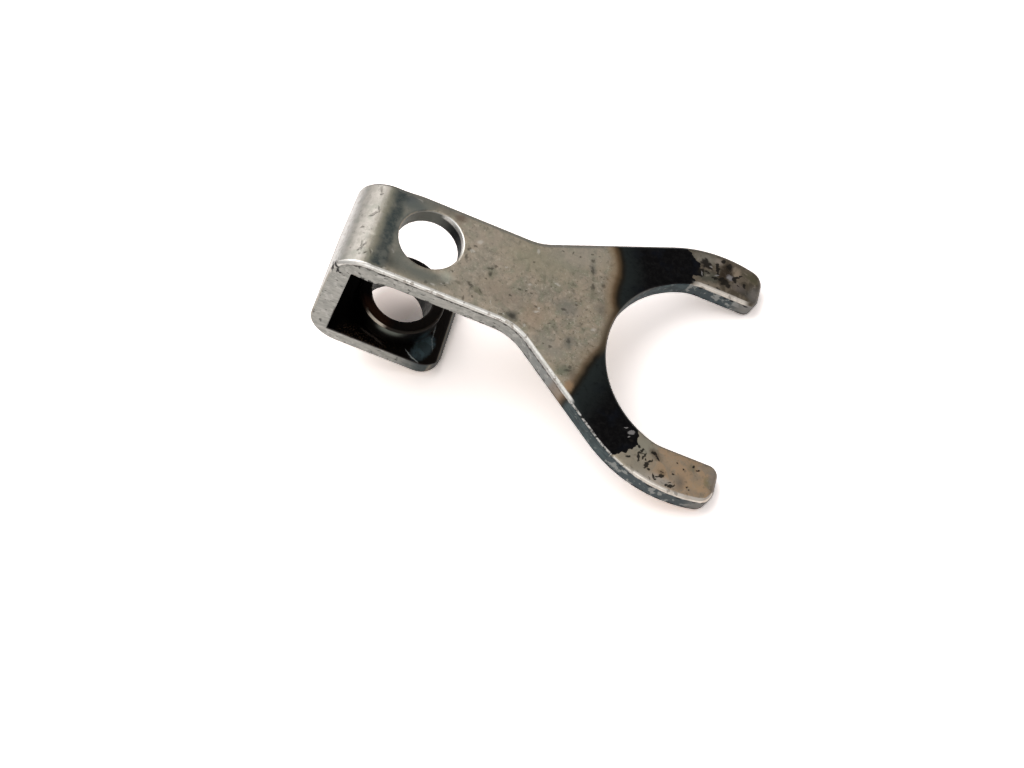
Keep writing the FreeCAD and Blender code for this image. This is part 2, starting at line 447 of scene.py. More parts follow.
# pits, knocks and stains that can be told apart
STAINS = (
    (10.9, -6.8, 0.9, 0.35, -25), (11.2, -7.2, 0.3, 0.6, 10), (13.3, -7.4, 0.6, 0.2, -40),
    (14.9, -0.2, 0.5, 0.3, 10), (14.0, -1.2, 0.9, 0.22, 25), (14.2, -2.4, 0.4, 0.5, 0),
    (21.3, -10.2, 0.7, 0.5, 0), (34.7, 10.5, 0.45, 0.4, 0), (34.1, 11.8, 0.3, 0.2, 20),
    (31.8, 10.1, 0.3, 0.25, 0), (30.0, 10.3, 0.12, 0.5, 0), (35.8, 12.2, 0.25, 0.15, 0),
    (27.8, 9.9, 0.3, 0.2, 0), (38.5, 5.4, 0.5, 0.5, 0), (36.2, 4.2, 0.4, 0.8, 20),
    (35.2, 8.0, 0.3, 0.9, 15), (34.4, -10.8, 0.4, 0.6, 0), (37.7, -15.8, 0.5, 0.15, 15),
    (36.2, -16.6, 0.35, 0.3, 0), (36.0, -17.6, 0.8, 0.3, 20), (31.0, -13.8, 0.4, 0.3, 20),
    (29.3, -13.6, 0.25, 0.2, 0), (21.2, -3.4, 0.4, 0.3, 0), (22.7, -3.2, 0.25, 0.25, 0),
    (23.8, -3.1, 0.3, 0.2, 0), (29.4, -8.4, 0.5, 0.2, 45), (18.9, -10.7, 0.5, 0.2, 0),
    (8.4, 1.4, 0.35, 0.45, -20), (9.4, 2.6, 0.4, 0.3, -20), (8.2, -0.7, 0.3, 0.7, 0),
    (5.5, -8.9, 0.35, 0.35, 0), (5.9, -9.4, 0.3, 0.15, 30), (-0.9, 6.6, 0.6, 0.25, 30),
    (-0.6, 7.1, 0.2, 0.3, 0), (1.8, -10.4, 0.4, 0.3, 0), (6.4, -5.4, 0.3, 0.2, 0),
    (10.3, -10.5, 0.3, 0.4, 0), (13.6, -4.0, 0.3, 0.2, 0), (19.6, -5.5, 0.3, 0.25, 0),
    (22.5, 4.5, 0.3, 0.2, 0), (33.9, -1.6, 0.35, 0.25, 30), (31.5, -3.9, 0.6, 0.25, -10),
    (25.7, -5.9, 0.3, 0.3, 0), (-7.7, -10.8, 0.5, 0.3, 20), (-10.4, -8.6, 0.3, 0.4, 0),
    (-12.3, 2.6, 0.25, 0.5, 30), (4.0, -12.0, 0.5, 0.2, 0), (-0.7, -12.1, 0.4, 0.3, 0),
    (12.0, -9.4, 0.3, 0.2, 0),
)
stained = both(marks(ragged, STAINS, 0.55), flat)
color = lay(color, (0.085, 0.078, 0.06), both(stained, 0.64))
BRIGHT = (
    (9.3, 1.3, 0.6, 0.25, -20), (8.8, 1.0, 0.25, 0.5, 20), (10.0, 4.0, 0.7, 0.35, 30),
    (6.2, -8.5, 0.3, 0.2, 40), (5.1, -9.3, 0.25, 0.2, 0), (-1.7, 6.7, 0.5, 0.2, 30),
    (17.0, 0.6, 0.4, 0.2, 10), (16.1, -9.0, 0.1, 0.6, 15), (23.0, -1.2, 0.4, 0.25, 30),
    (26.0, -7.0, 0.6, 0.3, 30), (28.6, 1.4, 0.6, 0.3, 0), (38.8, -5.9, 0.6, 0.3, 30),
    (-9.6, -3.6, 0.5, 0.2, 80), (-8.6, -2.9, 0.4, 0.15, 60), (-6.8, -6.2, 0.5, 0.2, -60),
    (-7.4, -10.9, 0.4, 0.2, 20), (27.5, 11.2, 0.15, 0.5, 0), (26.4, -6.1, 0.3, 0.3, 0),
    (24.4, -11.2, 0.4, 0.2, -20), (3.4, -10.2, 0.5, 0.2, 0), (22.6, 7.4, 0.3, 0.6, 10),
    (-8.0, 8.1, 0.6, 0.15, 10), (-5.0, 8.2, 0.8, 0.15, -5), (19.4, -10.5, 0.3, 0.2, 0),
)
brightened = both(marks(ragged, BRIGHT, 0.6), flat)
color = lay(color, (0.80, 0.75, 0.67), both(brightened, 0.6))

# grey round the bore and a dark band beside the fold
clear_bore = ramp(bore_gap, 7.0, 7.9)
around = both(ramp(from_axis(softly), 12.0, 8.5),
              either(ramp(sx, 0.5, -2.5), ramp(sy, -6.5, -8.5)), flat)
color = lay(color, (0.23, 0.24, 0.21), both(around, 0.70))
olive = both(ramp(cx, -13.2, -11.2), ramp(cx, -9.0, -10.0), flat)
color = lay(color, (0.24, 0.235, 0.185), both(olive, 0.80))
band_x = math_of("ADD", math_of("MULTIPLY", cx, 0.6), math_of("MULTIPLY", sx, 0.4))
band = both(ramp(band_x, -11.2, -9.3), ramp(band_x, -6.6, -8.3), ramp(cy, -12.4, -10.6), flat)
band_tone = lay((0.060, 0.080, 0.080, 1.0), (0.115, 0.128, 0.118), ramp(mottle, 0.42, 0.60))
band_tone = lay(band_tone, (0.20, 0.205, 0.18), both(spot(0.32, 0.52, 0.14, 5.0), 0.7))
color = lay(color, band_tone, both(band, 0.92))
color = lay(color, (0.20, 0.225, 0.225), both(less(clear_bore), flat, ramp(x, -2.0, -6.0), 0.6))

# the fold, rubbed bright and lightened further with a painted highlight
on_fold = both(ramp(cx, -10.8, -13.0), ramp(x, -10.3, -11.6), ramp(size_of(ny), 0.9, 0.7))
fold_tone_and_highlight = lay((0.53, 0.492, 0.445, 1.0), (0.44, 0.412, 0.365), ramp(mottle, 0.42, 0.62))
fold_tone_and_highlight = lay(fold_tone_and_highlight, (0.35, 0.35, 0.30), both(spot(0.28, 0.50, 0.15, 4.0), 0.6))
fold_tone_and_highlight = lay(fold_tone_and_highlight, (0.24, 0.225, 0.20), both(spot(0.9, 0.64, 0.05, 3.0), 0.7))
# the web's outer face near white: a painted reflection of the white board
painted_grazing_reflection = both(ramp(nx, -0.72, -0.99), ramp(z, -27.0, -14.0),
                 level(0.55, 1.0, ramp(mottle, 0.42, 0.56)))
fold_tone_and_highlight = lay(fold_tone_and_highlight, (0.93, 0.92, 0.90), painted_grazing_reflection)
color = lay(color, fold_tone_and_highlight, on_fold)
DENTS = (
    (-13.0, 1.2, 1.0, 0.22, 55), (-12.4, 2.4, 0.8, 0.16, 110), (-13.5, 0.6, 0.5, 0.2, 20),
    (-13.2, -7.2, 1.1, 0.17, 100), (-12.7, -6.8, 0.6, 0.12, 60), (-13.5, -8.3, 0.5, 0.15, 70),
    (-14.5, -2.6, 0.35, 0.28, 0), (-13.4, 7.6, 0.9, 0.15, 110), (-13.0, 6.4, 0.4, 0.2, 60),
    (-12.0, -8.9, 0.4, 0.15, 50), (-11.0, -8.3, 0.5, 0.2, 110),
)
dents = both(marks(shaken(0.5, 1.6, 3.0), DENTS, 0.5, 4.0), ramp(x, -10.4, -10.9))
# painted shade in the dents
color = lay(color, (0.20, 0.18, 0.155), both(dents, 0.50))
rough = level(rough, 0.40, on_fold)

# the sheared sides: a grey broken band, dark and pitted along both borders
plate_side = both(ramp(size_of(nz), 0.42, 0.3), ramp(x, -12.6, -11.6), ramp(z, -4.9, -4.6))
sheared = either(plate_side, ramp(size_of(ny), 0.75, 0.9),
                 both(ramp(z, -29.0, -30.4), ramp(nx, 0.5, 0.8)))
drawn = put(tree, "Mapping", {"Vector": P, "Scale": (0.45, 0.45, 1.3)})
edge_noise = put(tree, "TexNoise", {"Vector": drawn, "Scale": 0.9, "Detail": 5.0,
                                    "Roughness": 0.62})
on_plate = both(ramp(z, -4.9, -4.6), ramp(x, -17.0, -13.0))
side_tone = lay((0.46, 0.452, 0.42, 1.0), (0.345, 0.345, 0.32), ramp(edge_noise, 0.42, 0.60))
side_tone = lay(side_tone, (0.285, 0.300, 0.298), both(ramp(x, 17.0, 32.0), 0.72))
side_tone = lay(side_tone, (0.62, 0.61, 0.58), both(spot(0.8, 0.56, 0.08, 4.0), 0.5))
side_tone = lay(side_tone, (0.33, 0.27, 0.22), both(ramp(x, 33.2, 34.4), 0.8))
pitted = either(ramp(size_of(math_of("SUBTRACT", depth, 0.95)), 0.42, 0.10),
                ramp(depth, 3.7, 4.3))
pits = both(pitted, on_plate, spot(0.8, 0.50, 0.06, 5.0))
side_tone = lay(side_tone, (0.060, 0.058, 0.055), pits)
under_rim = both(ramp(size_of(math_of("SUBTRACT", depth, 0.80)), 0.30, 0.08), on_plate)
under_rim = both(under_rim, level(0.45, 1.0, spot(0.45, 0.48, 0.08, 5.0)))
side_tone = lay(side_tone, (0.085, 0.08, 0.075), under_rim)
burr = both(ramp(depth, 4.1, 4.45), level(0.2, 0.8, spot(0.3, 0.5, 0.1, 4.0)))
side_tone = lay(side_tone, (0.11, 0.11, 0.105), burr)
side_tone = lay(side_tone, (0.09, 0.09, 0.085), both(spot(0.9, 0.62, 0.05, 4.0), 0.8))
low_flange = both(ramp(z, -29.5, -30.6), ramp(sx, 1.5, 10.5))
side_tone = lay(side_tone, (0.06, 0.082, 0.088), both(low_flange, 0.9))
color = lay(color, side_tone, sheared)
rough = level(rough, 0.50, sheared)

# the heated prongs: brown, then blue, then black as far as the scale holds
X_LOW, X_SPAN, Y_LOW, Y_SPAN = 30, 30, -40, 70
starts = tree.nodes.new("ShaderNodeFloatCurve")
ends = tree.nodes.new("ShaderNodeFloatCurve")


def curve_over_y(node, points):
    """A curve of x over y, from points in mm; the first two are its ends."""
    curve = node.mapping.curves[0]
    for i, (py, px) in enumerate(points):
        place = ((py - Y_LOW) / Y_SPAN, (px - X_LOW) / X_SPAN)
        if i < 2:
            curve.points[i].location = place
        else:
            curve.points.new(*place)
    node.mapping.update()
    share = put(tree, "Math", {0: y, 1: 1 / Y_SPAN, 2: -Y_LOW / Y_SPAN}, operation="MULTIPLY_ADD")
    tree.links.new(share, node.inputs["Value"])
    return math_of("ADD", math_of("MULTIPLY", node.outputs[0], X_SPAN), X_LOW)


heat_x = curve_over_y(starts, (
    (-40, 30.0), (30, 35.0), (-23, 38.0), (-20, 39.0), (-16, 39.9), (-12, 41.0), (-10, 42.0),
    (-8, 43.0), (-4, 43.9), (0, 43.5), (3, 42.4), (8, 42.0), (12, 41.6), (16, 39.9)))
scale_x = curve_over_y(ends, (
    (-40, 45.0), (30, 48.0), (-33, 47.5), (-32, 50.3), (-30, 53.0), (-28, 54.4), (-25.5, 54.2),
    (0, 58.0), (13, 56.0), (15, 57.2), (16, 57.6), (17, 57.4), (18, 59.2), (19, 58.4),
    (20.2, 58.2), (21.5, 56.3), (23.5, 54.6)))
drift = both(math_of("SUBTRACT", sx, x), 0.3)
heat = math_of("SUBTRACT", math_of("ADD", x, drift), heat_x)
straw = both(ramp(heat, -4.2, -2.0), level(0.70, 0.30, near_side))
color = lay(color, (0.40, 0.285, 0.175), straw)
brown = both(ramp(heat, -2.4, -0.9), level(0.88, 0.72, near_side))
color = lay(color, (0.17, 0.105, 0.052), brown)
color = lay(color, (0.025, 0.020, 0.014), ramp(heat, -1.5, 0.2))
rust = place_mark(ragged, (37.1, -20.9, 0), (0.9, 1.2, 2.0), 0, 0.6)
color = lay(color, (0.52, 0.33, 0.19), both(rust, 0.75))
mouth_rim = both(ramp(back_rim, 0.35, 0.95), ramp(x, 38.0, 40.0),
                 ramp(size_of(math_of("ADD", y, 5.0)), 9.0, 5.0))
color = lay(color, (0.11, 0.085, 0.055), both(mouth_rim, 0.85))
black = lay((0.0075, 0.0070, 0.0075, 1.0), (0.0145, 0.0138, 0.0138), ramp(mottle, 0.42, 0.66))
veil = level(ramp(heat, 9.0, 0.5), ramp(heat, 6.5, 0.5), far_side)
blued = both(veil, level(0.95, 0.85, far_side), ramp(mottle, 0.18, 0.50))
black = lay(black, (0.031, 0.038, 0.037), blued)
black = lay(black, (0.011, 0.014, 0.022), both(spot(0.2, 0.52, 0.2), less(veil), 0.6))
very_ragged = shaken(2.6, 0.8, 6.0)[0]
scaled_off = ramp(math_of("SUBTRACT", very_ragged, scale_x), -0.12, 0.12)
in_heat = ramp(heat, -0.3, 1.1)
color = lay(color, black, in_heat)
side_heat = lay((0.085, 0.115, 0.122, 1.0), (0.055, 0.072, 0.077), ramp(edge_noise, 0.4, 0.6))
side_heat = lay(side_heat, (0.24, 0.26, 0.255), both(spot(0.7, 0.60, 0.06, 4.0), 0.6))
color = lay(color, side_heat, both(sheared, in_heat))

# the bare tips beyond the scale: the near one tan, the far one darker, brown and olive
tip_tone = lay((0.56, 0.395, 0.255, 1.0), (0.44, 0.345, 0.25), ramp(tint, 0.44, 0.58))
tip_tone = lay(tip_tone, (0.43, 0.39, 0.31), both(ramp(x, 61.0, 56.5), 0.8))
TIP_CLOUDS = (
    (60.5, -34.0, 3.4, 1.1, 0, (0.62, 0.56, 0.49), 0.75),
    (56.0, -27.5, 2.0, 2.0, 0, (0.40, 0.39, 0.31), 0.60),
    (65.3, -32.8, 0.9, 1.6, 0, (0.24, 0.20, 0.165), 0.65),
    (71.0, -30.3, 0.7, 1.0, 0, (0.27, 0.24, 0.13), 0.70),
    (68.6, -32.2, 1.8, 1.2, 0, (0.62, 0.43, 0.26), 0.60),
    (62.5, -28.9, 1.8, 1.2, 0, (0.60, 0.43, 0.28), 0.60),
    (67.2, -28.4, 1.0, 0.9, 0, (0.27, 0.235, 0.16), 0.60),
    (58.7, -28.6, 1.5, 0.8, -30, (0.14, 0.105, 0.075), 0.75),
    (61.0, -32.0, 0.8, 0.5, 0, (0.22, 0.16, 0.10), 0.70),
    (71.8, -29.0, 0.8, 1.8, 0, (0.36, 0.33, 0.30), 0.60),
)
tip_tone = cloud_over(tip_tone, ragged, TIP_CLOUDS, 0.7)
far_tone = lay((0.125, 0.103, 0.074, 1.0), (0.215, 0.175, 0.13), ramp(tint, 0.45, 0.58))
FAR_CLOUDS = (
    (59.0, 22.6, 3.2, 1.4, 10, (0.33, 0.30, 0.25), 0.80),
    (60.6, 18.2, 2.4, 1.6, 10, (0.145, 0.14, 0.108), 0.85),
    (62.0, 23.0, 1.0, 0.9, 0, (0.44, 0.37, 0.31), 0.70),
    (64.5, 21.6, 1.4, 2.2, 0, (0.055, 0.040, 0.028), 0.90),
    (63.6, 19.4, 0.9, 1.5, 0, (0.06, 0.042, 0.028), 0.85),
    (66.8, 22.0, 0.9, 1.3, 10, (0.46, 0.365, 0.27), 0.85),
    (65.4, 20.1, 0.75, 0.6, 0, (0.40, 0.37, 0.39), 0.85),
    (69.4, 17.8, 1.7, 0.8, -10, (0.085, 0.080, 0.068), 0.75),
    (67.8, 18.5, 1.6, 1.0, 0, (0.22, 0.185, 0.165), 0.60),
    (71.6, 18.2, 1.2, 1.8, 0, (0.26, 0.24, 0.225), 0.70),
    (70.3, 22.2, 2.2, 1.0, -20, (0.165, 0.15, 0.09), 0.60),
    (61.0, 16.4, 2.4, 0.6, 10, (0.34, 0.28, 0.215), 0.75),
)
far_tone = cloud_over(far_tone, ragged, FAR_CLOUDS, 0.6)
tip_tone = lay(tip_tone, far_tone, far_side)
tip_tone = lay(tip_tone, (0.15, 0.125, 0.10), both(ramp(mottle, 0.46, 0.34), 0.45))
tip_tone = lay(tip_tone, (0.55, 0.48, 0.40), both(ramp(mottle, 0.54, 0.68), 0.35))
tip_tone = lay(tip_tone, (0.22, 0.205, 0.19), both(ramp(x, 71.6, 73.0), 0.8))
side_tip = lay((0.080, 0.100, 0.108, 1.0), (0.30, 0.31, 0.30), spot(0.55, 0.53, 0.07, 5.0))
side_tip = lay(side_tip, (0.26, 0.25, 0.235), ramp(x, 67.0, 71.0))
side_tip = lay(side_tip, (0.02, 0.02, 0.022), both(pitted, spot(0.8, 0.50, 0.06, 4.0)))
tip_tone = lay(tip_tone, side_tip, sheared)
color = lay(color, tip_tone, both(in_heat, scaled_off))

# scale left on the bare tips in flakes, and chips out of it
FLAKES = (
    (55.0, -28.3, 0.35, 0.35, 0), (55.8, -28.9, 0.65, 0.32, 70), (55.3, -29.6, 0.45, 0.2, 10),
    (55.35, -30.7, 1.1, 0.28, -75), (56.5, -30.0, 1.0, 0.22, 72), (56.2, -29.5, 0.5, 0.14, 20),
    (57.9, -30.6, 0.75, 0.25, 42), (57.4, -31.7, 0.65, 0.5, 60), (58.1, -32.4, 0.4, 0.3, 0),
    (57.2, -32.4, 0.4, 0.22, 30), (58.4, -28.4, 0.7, 0.35, -10), (59.4, -29.2, 0.8, 0.22, -45),
    (61.0, -31.9, 0.4, 0.16, 10), (61.1, -32.8, 0.65, 0.4, 30), (60.3, -33.3, 0.6, 0.2, 15),
    (59.45, -33.6, 0.7, 0.24, -65), (59.9, -34.1, 0.3, 0.2, 0), (58.8, -34.4, 0.45, 0.12, -60),
    (62.5, -34.4, 0.35, 0.3, 40), (63.4, -34.3, 0.6, 0.38, 15), (63.0, -33.6, 0.5, 0.10, 22),
    (64.1, -33.9, 0.45, 0.14, 55), (63.5, -31.4, 0.36, 0.2, 10), (67.4, -28.0, 0.25, 0.3, 0),
    (68.4, -28.5, 0.42, 0.2, 20), (67.0, -33.1, 0.30, 0.2, 30), (67.5, -33.6, 0.2, 0.14, 0),
    (63.7, -28.6, 0.22, 0.2, 0), (65.4, -29.5, 0.22, 0.2, 0), (53.2, -31.4, 0.5, 0.3, 20),
    (67.2, -36.0, 0.25, 0.2, 0), (68.2, -35.8, 0.2, 0.2, 0), (52.9, -27.6, 0.5, 0.3, 0),
    (57.0, -30.6, 0.2, 0.3, 0), (58.6, 14.7, 0.7, 0.13, 0), (60.8, 14.65, 0.9, 0.13, 0),
    (62.6, 14.6, 0.7, 0.14, 0), (66.8, 14.8, 0.8, 0.09, 0),
)
FAR_FLAKES = (
    (59.2, 21.3, 1.15, 1.15, 0), (60.4, 20.6, 0.6, 0.35, 0), (62.1, 21.2, 1.35, 0.42, -72),
    (61.8, 22.1, 0.4, 0.35, 0), (62.5, 20.1, 0.4, 0.4, 0), (63.1, 23.6, 0.45, 0.42, 0),
    (64.8, 18.3, 1.15, 0.95, 0), (63.6, 19.0, 0.7, 0.5, 60), (62.3, 18.5, 0.8, 0.35, 15),
    (66.6, 19.9, 0.5, 0.6, 0), (66.9, 20.8, 0.8, 0.35, 35), (67.8, 21.6, 0.5, 0.16, 40),
    (69.1, 19.5, 0.38, 0.34, 0), (67.8, 19.1, 0.4, 0.18, 0), (60.0, 19.3, 0.6, 0.25, 20),
    (58.6, 19.0, 0.8, 0.9, 0), (58.9, 17.9, 0.6, 0.6, 0), (63.4, 16.1, 0.42, 0.32, 0),
    (60.8, 16.0, 0.6, 0.12, 60), (64.6, 22.6, 0.6, 0.9, 0),
)
flakes = either(marks(shaken(0.8, 2.2, 4.0), FLAKES, 0.22),
                marks(shaken(2.0, 1.1, 5.0), FAR_FLAKES, 0.30))
flakes = both(flakes, ramp(nz, 0.35, 0.6))
color = lay(color, (0.022, 0.019, 0.016), both(flakes, 0.93))
CHIPS = (
    (52.6, -25.8, 0.85, 0.48, 30), (51.3, -25.2, 0.5, 0.15, 20), (52.3, -27.0, 0.3, 0.15, 40),
    (65.3, 20.1, 0.6, 0.4, 20), (62.3, 19.4, 0.6, 0.15, 30), (58.9, 18.4, 0.15, 0.6, 20),
    (60.6, 21.0, 0.35, 0.2, 0),
)
chips = both(marks(shaken(0.5, 1.9, 3.0), CHIPS, 0.25), ramp(nz, 0.55, 0.8))
color = lay(color, (0.36, 0.34, 0.33), both(chips, 0.9))

# the rolled rim: rubbed bright along the front, with a painted highlight on it and a painted glow
# beside it, and painted shade along the back
outer = ramp(bore_gap, 8.2, 9.0)
shaken_depth = math_of("ADD", depth, both(math_of("SUBTRACT", rz, z), 0.5))
shoulder = both(ramp(shaken_depth, 0.78, 0.52), ramp(ny, -0.02, -0.10),
                either(ramp(nz, 0.994, 0.978), ramp(x, -9.6, -10.6)),
                ramp(size_of(ny), 0.99, 0.93))
lip = both(ramp(front_rim, 0.62, 1.0), ramp(nz, 0.9, 0.985))
rim_wear_and_highlight = both(either(both(shoulder, ramp(z, -9.0, -5.0)), both(lip, 0.88)), outer,
                  ramp(mottle, 0.28, 0.38), level(0.8, 1.0, ramp(tint, 0.42, 0.52)))
# the near prong's black keeps only a hair line of it, and the far prong has it on its bare tip
before_heat, near_prong = ramp(x, 39.5, 38.0), ramp(y, -20.0, -22.0)
hair_line = both(ramp(nz, 0.82, 0.66), ramp(nz, 0.30, 0.45), ramp(mottle, 0.40, 0.50))
near_prong = both(near_prong, either(hair_line, ramp(rx, 53.0, 56.5)))
bare_tips = both(ramp(rx, 57.0, 59.5), ramp(x, 71.5, 69.5))
rim_wear_and_highlight = both(rim_wear_and_highlight, either(before_heat, near_prong, bare_tips))
# the front rim's colour: rubbed steel and painted highlight
rim_wear_and_highlight_tone = lay((0.95, 0.915, 0.86, 1.0), (0.84, 0.74, 0.64), both(ramp(x, 50.0, 58.0), 0.7))
rim_wear_and_highlight_tone = lay(rim_wear_and_highlight_tone, (0.42, 0.37, 0.32), both(spot(0.7, 0.60, 0.06, 3.0), 0.8))
# a painted glow on the face beside the front rim
painted_rim_glow = both(ramp(front_rim, 0.30, 0.95), ramp(nz, 0.9, 0.985),
            either(both(ramp(x, 14.0, 24.0), ramp(x, 38.0, 36.0)), ramp(rx, 55.5, 60.0)))
color = lay(color, (0.76, 0.72, 0.65), both(painted_rim_glow, 0.42))
color = lay(color, rim_wear_and_highlight_tone, rim_wear_and_highlight)
# painted shade along the back rim and the ends
back_rim_shade = both(ramp(depth, 1.0, 0.7), outer, either(ramp(ny, 0.15, 0.35), ramp(nx, 0.5, 0.7)),
                ramp(nz, 0.99, 0.93))
color = lay(color, (0.16, 0.16, 0.15), both(back_rim_shade, ramp(nz, 0.1, 0.3), 0.75))
# painted shade on the lip along the back
back_lip_shade = both(ramp(back_rim, 0.80, 0.98), ramp(nz, 0.9, 0.985), less(in_heat),
                ramp(x, 38.0, 34.0), 0.7)
color = lay(color, (0.27, 0.265, 0.24), back_lip_shade)
rough = level(rough, 0.33, rim_wear_and_highlight)

# the bore: a painted highlight on its entry at the back and right; its wall is grey, with painted
# shade darkening it to the right
toward_left = ramp(nx, -0.05, -0.30)
entry_highlight = both(less(outer), ramp(z, -1.55, -1.05), ramp(nz, 0.99, 0.9), toward_left,
             ramp(ny, 0.25, -0.10))
bore_wall = both(less(outer), ramp(z, -0.35, -0.6), ramp(z, -5.0, -4.7), ramp(nz, 0.8, 0.5))
bore_wall_tone_and_shade = lay((0.185, 0.19, 0.17, 1.0), (0.018, 0.022, 0.024), ramp(nx, 0.15, -0.75))
bore_wall_tone_and_shade = lay(bore_wall_tone_and_shade, (0.32, 0.32, 0.29), both(ramp(z, -4.0, -4.4), 0.5))
color = lay(color, bore_wall_tone_and_shade, both(bore_wall, 0.95))
color = lay(color, (0.95, 0.93, 0.89), entry_highlight)
# the lower bore's wall: black as painted shade, with painted light on its right
low_bore = both(less(outer), ramp(z, -24.3, -24.9), ramp(nz, 0.8, 0.5))
lit = both(ramp(x, 3.6, 5.2), ramp(y, 3.5, 1.5), ramp(tint, 0.42, 0.56))
low_bore_shade_tone = lay((0.008, 0.008, 0.008, 1.0), (0.30, 0.31, 0.27), lit)
color = lay(color, low_bore_shade_tone, low_bore)

# inside the bracket: black rolling scale darkened further with painted shade, and a painted brown
# sheen towards the front
inner = both(ramp(x, -13.4, -13.0), ramp(x, 13.4, 12.4), ramp(z, -31.2, -30.8),
             ramp(z, -4.3, -4.6), less(sheared))
collar = both(ramp(z, -31.2, -30.8), ramp(z, -20.0, -22.0), ramp(x, -13.4, -13.0))
inner = either(inner, collar)
inner_scale_and_shade = lay((0.0035, 0.0030, 0.0028, 1.0), (0.012, 0.010, 0.009), ramp(x, -6.0, 6.0))
painted_brown_sheen = both(ramp(sy, -8.0, -10.5), ramp(sx, -11.5, -8.0), ramp(sx, 4.0, -2.0),
             ramp(z, -29.0, -30.0))
painted_brown_sheen = both(painted_brown_sheen, spot(3.0, 0.50, 0.16, 3.0), 0.8)
inner_scale_and_shade = lay(inner_scale_and_shade, (0.095, 0.060, 0.038), painted_brown_sheen)
color = lay(color, inner_scale_and_shade, inner)
# painted highlights along the collar's base on the lower flange
BASE_GLINTS = (
    ((-4.4, -9.5, -30.5), (1.5, 0.24, 2.0), -20, 0.7),
    ((-1.7, -10.3, -30.5), (1.5, 0.24, 2.0), -24, 0.6),
)
for centre, half_size, turn, share in BASE_GLINTS:
    base_glint = place_mark(nibbled, centre, half_size, turn, 0.7)
    color = lay(color, (0.24, 0.20, 0.165), both(base_glint, inner, share))
# painted brown light on the left of the collar's top
collar_top_lit = both(ramp(z, -25.3, -24.9), collar, ramp(rx, 1.0, -3.0), ramp(ry, -3.0, -6.5), 0.6)
color = lay(color, (0.050, 0.020, 0.012), collar_top_lit)
# a painted highlight on the collar's rounded top edge
collar_edge_highlight = both(collar, ramp(z, -26.2, -25.6), ramp(nz, 0.97, 0.85), ramp(nz, 0.15, 0.35),
                   ramp(ny, 0.4, 0.1))
glint = level(0.03, 1.0, both(ramp(rx, -0.6, -2.6), ramp(rx, -6.6, -5.4)))
color = lay(color, (0.52, 0.46, 0.38), both(collar_edge_highlight, glint))
# a painted highlight on the collar's outer wall
collar_side_highlight = both(collar, ramp(z, -25.2, -25.5), ramp(z, -27.6, -26.0), ramp(bore_gap, 8.9, 9.4))
collar_side_highlight = both(collar_side_highlight, ramp(rx, -4.0, -1.5), ramp(rx, 4.5, 1.0), ramp(ny, -0.2, -0.6))
color = lay(color, (0.15, 0.165, 0.145), collar_side_highlight)
# a blue-grey patch at the flange's free-end corner: partly wear, partly painted light from the open
# right side
worn_and_lit_corner = place_mark(ragged, (8.6, -7.9, -29.5), (3.9, 2.1, 3.6), 72, 0.22)
worn_and_lit_corner = both(worn_and_lit_corner, inner, level(0.60, 1.0, ramp(tint, 0.40, 0.56)))
color = lay(color, (0.080, 0.125, 0.150), worn_and_lit_corner)
# painted highlights on the lower flange near its front and free end
INSIDE_GLINTS = (
    ((5.9, -10.5, -30.5), (1.0, 0.16, 1.0), -35, 0.9),
    ((7.4, -11.4, -30.5), (1.2, 0.16, 1.0), -20, 0.9),
    ((9.9, -3.0, -30.5), (2.2, 0.12, 1.0), 93, 0.35),
    ((10.4, -6.2, -30.5), (1.4, 0.12, 1.0), -70, 0.35),
)
for centre, half_size, turn, share in INSIDE_GLINTS:
    inside_glint = place_mark(nibbled, centre, half_size, turn, 0.5)
    color = lay(color, (0.50, 0.55, 0.56), both(inside_glint, inner, share))
rough = level(rough, 0.42, inner)
# painted shade on the lower flange's end face
color = lay(color, (0.13, 0.13, 0.125), both(ramp(z, -29.0, -30.4), ramp(nx, 0.5, 0.8), 0.7))

# the cracked corner at the fold's front
CRACK = (
    ((-16.9, -12.0, -4.5), (1.1, 1.2, 0.30)), ((-15.9, -12.0, -5.5), (0.32, 1.2, 0.9)),
    ((-17.1, -11.7, -5.9), (0.32, 1.2, 1.0)), ((-15.2, -12.0, -5.9), (0.5, 1.2, 0.25)),
)
for centre, half_size in CRACK:
    gap = place_mark(ragged, centre, half_size, 0, 0.35)
    color = lay(color, (0.022, 0.022, 0.022), both(gap, 0.95))

# pits, fine scratches and the mill's grain in the light
fine = put(tree, "TexNoise", {"Vector": P, "Scale": 3.2, "Detail": 4.0, "Roughness": 0.65})
height = math_of("ADD", both(fine, 0.35), mottle)
height = math_of("SUBTRACT", height, both(dents, 2.4))
bump = put(tree, "Bump", {"Height": height, "Strength": 0.6, "Distance": 0.00006})

tree.links.new(color, shader.inputs["Base Color"])
tree.links.new(rough, shader.inputs["Roughness"])
tree.links.new(bump, shader.inputs["Normal"])
shader.inputs["Metallic"].default_value = 1.0
fork.data.materials.clear()
fork.data.materials.append(steel)

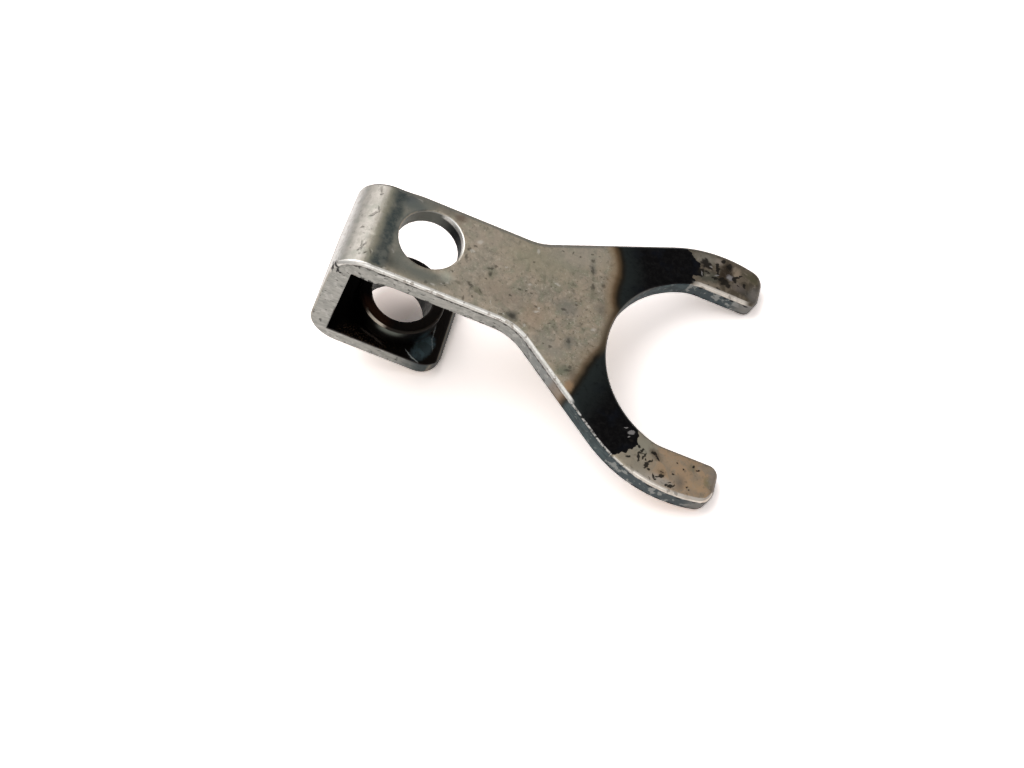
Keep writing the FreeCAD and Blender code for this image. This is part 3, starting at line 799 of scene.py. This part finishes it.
# The table: a plain white board that the fork lies on, overexposed to white around it, with a
# pale pink painted shade under the bracket, where it shows through both bores.
SHADED, SHADE_CORE, SHADE_END = Vector((-36.5, 11.6, 0.0)) * MM, 4.0 * MM, 11.0 * MM
bpy.ops.mesh.primitive_plane_add(size=6.0, location=(0, 0, 0))
table = bpy.context.object
table.name = "table"
board = bpy.data.materials.new("white_board")
board.use_nodes = True
btree = board.node_tree
btree.nodes.clear()
seen = btree.nodes.new("ShaderNodeLightPath")
mirrored = put(btree, "Mix", {"Factor": seen.outputs["Is Glossy Ray"], 6: (0.82, 0.78, 0.76, 1),
                              7: (1.15, 1.10, 1.07, 1)}, out=2, data_type="RGBA")
shade = put(btree, "VectorMath", {0: put(btree, "TexCoord", out=3), 1: SHADED}, out=1,
            operation="DISTANCE")
shade = put(btree, "MapRange", {"Value": shade, "From Min": SHADE_CORE, "From Max": SHADE_END},
            interpolation_type="SMOOTHSTEP", clamp=False)
exposed = put(btree, "Mix", {"Factor": shade, 6: (1.05, 0.93, 0.88, 1), 7: (2.00, 1.87, 1.82, 1)},
              out=2, data_type="RGBA")
paint = put(btree, "Mix", {"Factor": seen.outputs["Is Camera Ray"], 6: mirrored, 7: exposed},
            out=2, data_type="RGBA")
surface = put(btree, "BsdfDiffuse", {"Color": paint})
end = btree.nodes.new("ShaderNodeOutputMaterial")
btree.links.new(surface, end.inputs["Surface"])
table.data.materials.append(board)

# The light: a room that is dimmer near the ground, a soft window on the left behind the fork, one
# in front, and the main soft lamp high up, a little to the left and back.
world = bpy.data.worlds.new("room")
bpy.context.scene.world = world
world.use_nodes = True
room = world.node_tree
toward = put(room, "TexCoord")
height_of = room.nodes.new("ShaderNodeSeparateXYZ")
room.links.new(toward, height_of.inputs[0])
strength = put(room, "MapRange", {"Value": height_of.outputs[2], "From Min": 0.0, "From Max": 0.6,
                                  "To Min": 0.22, "To Max": 0.50})
room.links.new(strength, room.nodes["Background"].inputs["Strength"])
room.nodes["Background"].inputs["Color"].default_value = (1, 1, 1, 1)


def softbox(name, toward, distance, width, height, radiance):
    """A flat lamp that looks at the fork from a direction and a distance in metres."""
    lamp = bpy.data.lights.new(name, "AREA")
    lamp.shape = "RECTANGLE"
    lamp.size, lamp.size_y = width, height
    lamp.energy = radiance * math.pi * width * height
    light = bpy.data.objects.new(name, lamp)
    bpy.context.scene.collection.objects.link(light)
    light.location = Vector(toward).normalized() * distance
    light.rotation_euler = (-light.location).to_track_quat("-Z", "Y").to_euler()


softbox("window_left", (-0.66, 0.46, 0.62), 1.6, 1.4, 1.0, 0.80)
softbox("window_front", (0.15, -0.75, 0.64), 1.6, 1.4, 0.9, 0.90)
softbox("overhead", (-0.25, 0.18, 1.0), 1.5, 1.1, 1.1, 1.90)

# The camera, where the photograph was taken from.
lens = bpy.data.cameras.new("camera")
camera = bpy.data.objects.new("camera", lens)
bpy.context.scene.collection.objects.link(camera)
lens.lens = 61.144923
lens.sensor_width = 36.0
RIGHT = Vector((0.95432183, 0.25568284, -0.15458375))
DOWN = Vector((0.13623400, -0.83284058, -0.53648566))
AHEAD = Vector((-0.26591379, 0.49092041, -0.82963064))
EYE = Vector((100.026915, -196.014318, 322.581058)) * MM
camera.matrix_world = Matrix.Translation(EYE) @ Matrix((RIGHT, -DOWN, -AHEAD)).transposed().to_4x4()
bpy.context.scene.camera = camera
bpy.context.scene.view_settings.view_transform = "Standard"
